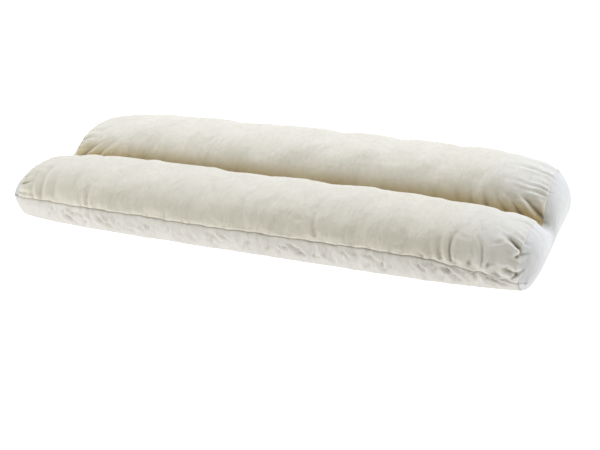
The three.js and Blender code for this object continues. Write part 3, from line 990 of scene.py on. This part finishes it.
def cotton(name, colour, crinkle, channel_shade_colour=None):
    """Plain woven cotton: fine threads, uneven yarn and soft crinkles, laid out on the cloth's own map."""
    f = Finish(name)
    place = f.node("ShaderNodeUVMap").value("UV")
    parts = f.node("ShaderNodeSeparateXYZ", None, {"Vector": place})
    along, across = parts.value("X"), parts.value("Y")
    turn = 2 * math.pi / (0.62 * MM)
    warp = (along * turn).sine()
    weft = (across * turn).sine()
    weave = warp * weft

    def streaks(scale_x, scale_y, detail, seed):
        vector = f.node("ShaderNodeMapping", None, {
            "Vector": place, "Location": (seed, seed * 0.7, 0),
            "Scale": (scale_x, scale_y, 1)}).value("Vector")
        return f.node("ShaderNodeTexNoise", {"noise_dimensions": "2D"}, {
            "Vector": vector, "Scale": 1.0, "Detail": detail, "Roughness": 0.55}).value("Fac")

    slubs = streaks(900, 60, 2, 3.1) * 0.5 + streaks(60, 900, 2, 7.7) * 0.5
    crumple = streaks(150, 70, 4, 1.3)
    broad = streaks(22, 14, 3, 5.9)
    tone = (slubs - 0.5) * 0.4 + (crumple - 0.5) * 0.6 + (broad - 0.5) * 0.6 + weave * 0.05
    pale = tuple(min(c * 1.09, 1) for c in colour)
    dark = tuple(c * 0.86 for c in colour)
    paint = f.mix(tone + 0.5, dark, pale)
    # painted shade: the top cloth is coloured warm and dark deep in the channel
    if channel_shade_colour:
        deep = f.node("ShaderNodeAttribute", {"attribute_name": "channel_painted_shade"}).value("Fac")
        paint = f.mix(deep * 0.85, paint, channel_shade_colour)
    # painted light: the top cloth is coloured paler towards the right end, where the side light falls
    right_end_light = f.node("ShaderNodeAttribute", {"attribute_name": "right_end_painted_light"}).value("Fac")
    paint = f.mix(right_end_light, paint, PAINTED_END_LIGHT)
    # painted shade: the colour darkens deep in each crease
    crease = f.node("ShaderNodeAttribute", {"attribute_name": "crease_painted_shade"}).value("Fac")
    paint = f.mix(crease * 0.9, paint, tuple(c * share for c, share in zip(colour, CREASE_PAINTED_SHADE)))
    relief = weave * (0.035 * MM) + (slubs - 0.5) * (0.10 * MM) + (crumple - 0.5) * (crinkle * MM)
    bump = f.node("ShaderNodeBump", None, {
        "Strength": 1.0, "Distance": 1.0, "Height": relief}).value("Normal")
    roughness = (crumple - 0.5) * 0.12 + 0.9
    return f.finish(paint, roughness, bump)


class PILLOW_OT_filled_body(bpy.types.Operator):
    """Sews and fills the body: the top cloth over both rolls and the channel"""

    bl_idname = "pillow.filled_body"
    bl_label = "Filled Body"

    def execute(self, context):
        sizes, colours = sizes_and_colours()
        cloths = sewn_cloths(sizes)
        lining = cloths.lining()
        panels = [
            lay_panel("top_cloth", cloths.top),
            lay_panel("lining", lining, flipped=True),
        ]
        # painted shade in the creases of the top cloth
        store(panels[0], "crease_painted_shade", cloths.top_shade)
        for end, row in ((LEFT, 0), (RIGHT, -1)):
            face = cloths.end_grid(end, cloths.top[row], lining[row], BODY_END_ROWS, BODY_CLEARANCE)
            panels.append(lay_panel("body_end", face))
        body = join_panels("filled_body", panels)
        mark_shade(body, cloths.form)
        body.data.materials.append(cotton("cream_cotton", colours.top, 1.3, colours.fold))
        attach(body, "root")
        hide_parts("pillow_body")
        return {"FINISHED"}


class PILLOW_OT_base_cloth(bpy.types.Operator):
    """Sews the cloth of the underside, up to both long seams"""

    bl_idname = "pillow.base_cloth"
    bl_label = "Base Cloth"

    def execute(self, context):
        sizes, colours = sizes_and_colours()
        cloths = sewn_cloths(sizes)
        base = lay_panel("base_cloth", cloths.base)
        # painted shade in the creases of the base cloth
        store(base, "crease_painted_shade", cloths.base_shade)
        give_thickness(base, sizes.cloth_thickness)
        choose(base)
        bpy.ops.object.shade_smooth()
        base.data.materials.append(cotton("base_cotton", colours.base, 2.0))
        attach(base, "root")
        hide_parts("base_panel")
        return {"FINISHED"}


class PILLOW_OT_end_cloths(bpy.types.Operator):
    """Sews the two-lobed cloths that close the ends"""

    bl_idname = "pillow.end_cloths"
    bl_label = "End Cloths"

    def execute(self, context):
        sizes, colours = sizes_and_colours()
        cloths = sewn_cloths(sizes)
        material = cotton("white_cotton", colours.end, 0.9)
        for end, row, name in ((LEFT, 0, "left"), (RIGHT, -1, "right")):
            face = cloths.end_grid(end, cloths.top[row], cloths.base[row], END_ROWS)
            cloth = lay_panel(f"end_cloth_{name}", face, flipped=end == RIGHT)
            choose(cloth)
            bpy.ops.object.mode_set(mode="EDIT")
            bpy.ops.mesh.select_all(action="SELECT")
            bpy.ops.mesh.remove_doubles(threshold=MERGE_DISTANCE)
            bpy.ops.object.mode_set(mode="OBJECT")
            bpy.ops.object.shade_smooth()
            give_thickness(cloth, sizes.cloth_thickness)
            cloth.data.materials.append(material)
            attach(cloth, "root")
            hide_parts(f"end_panel_{name}")
            span = face[..., 1].max() - face[..., 1].min() + END_CUT_EXTRA
            rise = face[..., 2].max() - face[..., 2].min() + END_CUT_EXTRA
            float(END_CUT_SHARE * span * rise)
        return {"FINISHED"}


class PILLOW_OT_stage(bpy.types.Operator):
    """Lays the floor and sets up the soft lights and the camera"""

    bl_idname = "pillow.stage"
    bl_label = "Stage"

    def execute(self, context):
        scene = context.scene
        stage = scene.pillow_stage
        deselect_all()
        bpy.ops.mesh.primitive_plane_add(size=30, location=(0, 0, -0.0006))
        floor = context.object
        floor.name = "floor"
        f = Finish("pale_floor")
        floor.data.materials.append(f.finish(stage.floor, 0.9, sheen=0, glow=stage.floor_glow))
        world = bpy.data.worlds.new("studio")
        scene.world = world
        world.use_nodes = True
        background = world.node_tree.nodes["Background"]
        background.inputs["Color"].default_value = (1.0, 0.93, 0.72, 1)
        background.inputs["Strength"].default_value = stage.sky
        self.softbox("back_softbox", (-0.2, 1.25, 1.62), (2.4, 1.0), stage.top_light, (0.84, 0.88, 1.0))
        self.softbox("front_softbox", (-1.2, -1.6, 0.4), (1.0, 0.5), stage.front_light, (0.96, 0.98, 1.0))
        self.softbox("side_softbox", (1.9, 0.3, 0.6), (1.0, 1.0), stage.side_light, (0.96, 0.98, 1.0))
        self.camera(scene, stage)
        scene.view_settings.view_transform = "Standard"
        return {"FINISHED"}

    def softbox(self, name, place, size, power, colour):
        target = Vector((0, 0, 0.04))
        bpy.ops.object.light_add(type="AREA", location=place)
        lamp = bpy.context.object
        lamp.name = name
        lamp.rotation_euler = (target - Vector(place)).to_track_quat("-Z", "Y").to_euler()
        lamp.data.shape = "RECTANGLE"
        lamp.data.size, lamp.data.size_y = size
        lamp.data.energy = power
        lamp.data.color = colour

    def camera(self, scene, stage):
        a, e = stage.azimuth, stage.elevation
        back = Vector((math.sin(a) * math.cos(e), -math.cos(a) * math.cos(e), math.sin(e)))
        right = Vector((math.cos(a), math.sin(a), 0))
        up = back.cross(right)
        target = Vector((0, -0.007, 0.045))
        place = target + back * stage.distance + right * 0.0136 - up * 0.0483
        bpy.ops.object.camera_add(location=place)
        camera = bpy.context.object
        camera.name = "camera"
        turn = Matrix((right, up, back)).transposed()
        camera.rotation_euler = turn.to_euler()
        camera.data.sensor_width = 36
        camera.data.lens = stage.lens
        camera.data.clip_start = 0.01
        scene.camera = camera


class PILLOW_PT_panel(bpy.types.Panel):
    """Lists the pieces of the pillow"""

    bl_idname = "PILLOW_PT_panel"
    bl_label = "Pillow"
    bl_space_type = "VIEW_3D"
    bl_region_type = "UI"
    bl_category = "Pillow"

    def draw(self, context):
        for operator in PIECES:
            self.layout.operator(operator.bl_idname)


PIECES = (
    PILLOW_OT_filled_body,
    PILLOW_OT_base_cloth,
    PILLOW_OT_end_cloths,
    PILLOW_OT_stage,
)
CLASSES = (PillowSizes, ClothColours, StageSettings, *PIECES, PILLOW_PT_panel)


def register():
    for entry in CLASSES:
        bpy.utils.register_class(entry)
    bpy.types.Scene.pillow_sizes = bpy.props.PointerProperty(type=PillowSizes)
    bpy.types.Scene.pillow_colours = bpy.props.PointerProperty(type=ClothColours)
    bpy.types.Scene.pillow_stage = bpy.props.PointerProperty(type=StageSettings)


def unregister():
    del bpy.types.Scene.pillow_stage
    del bpy.types.Scene.pillow_colours
    del bpy.types.Scene.pillow_sizes
    for entry in reversed(CLASSES):
        bpy.utils.unregister_class(entry)


def main():
    register()
    bpy.ops.pillow.filled_body()
    bpy.ops.pillow.base_cloth()
    bpy.ops.pillow.end_cloths()
    bpy.ops.pillow.stage()


if __name__ == "__main__":
    main()
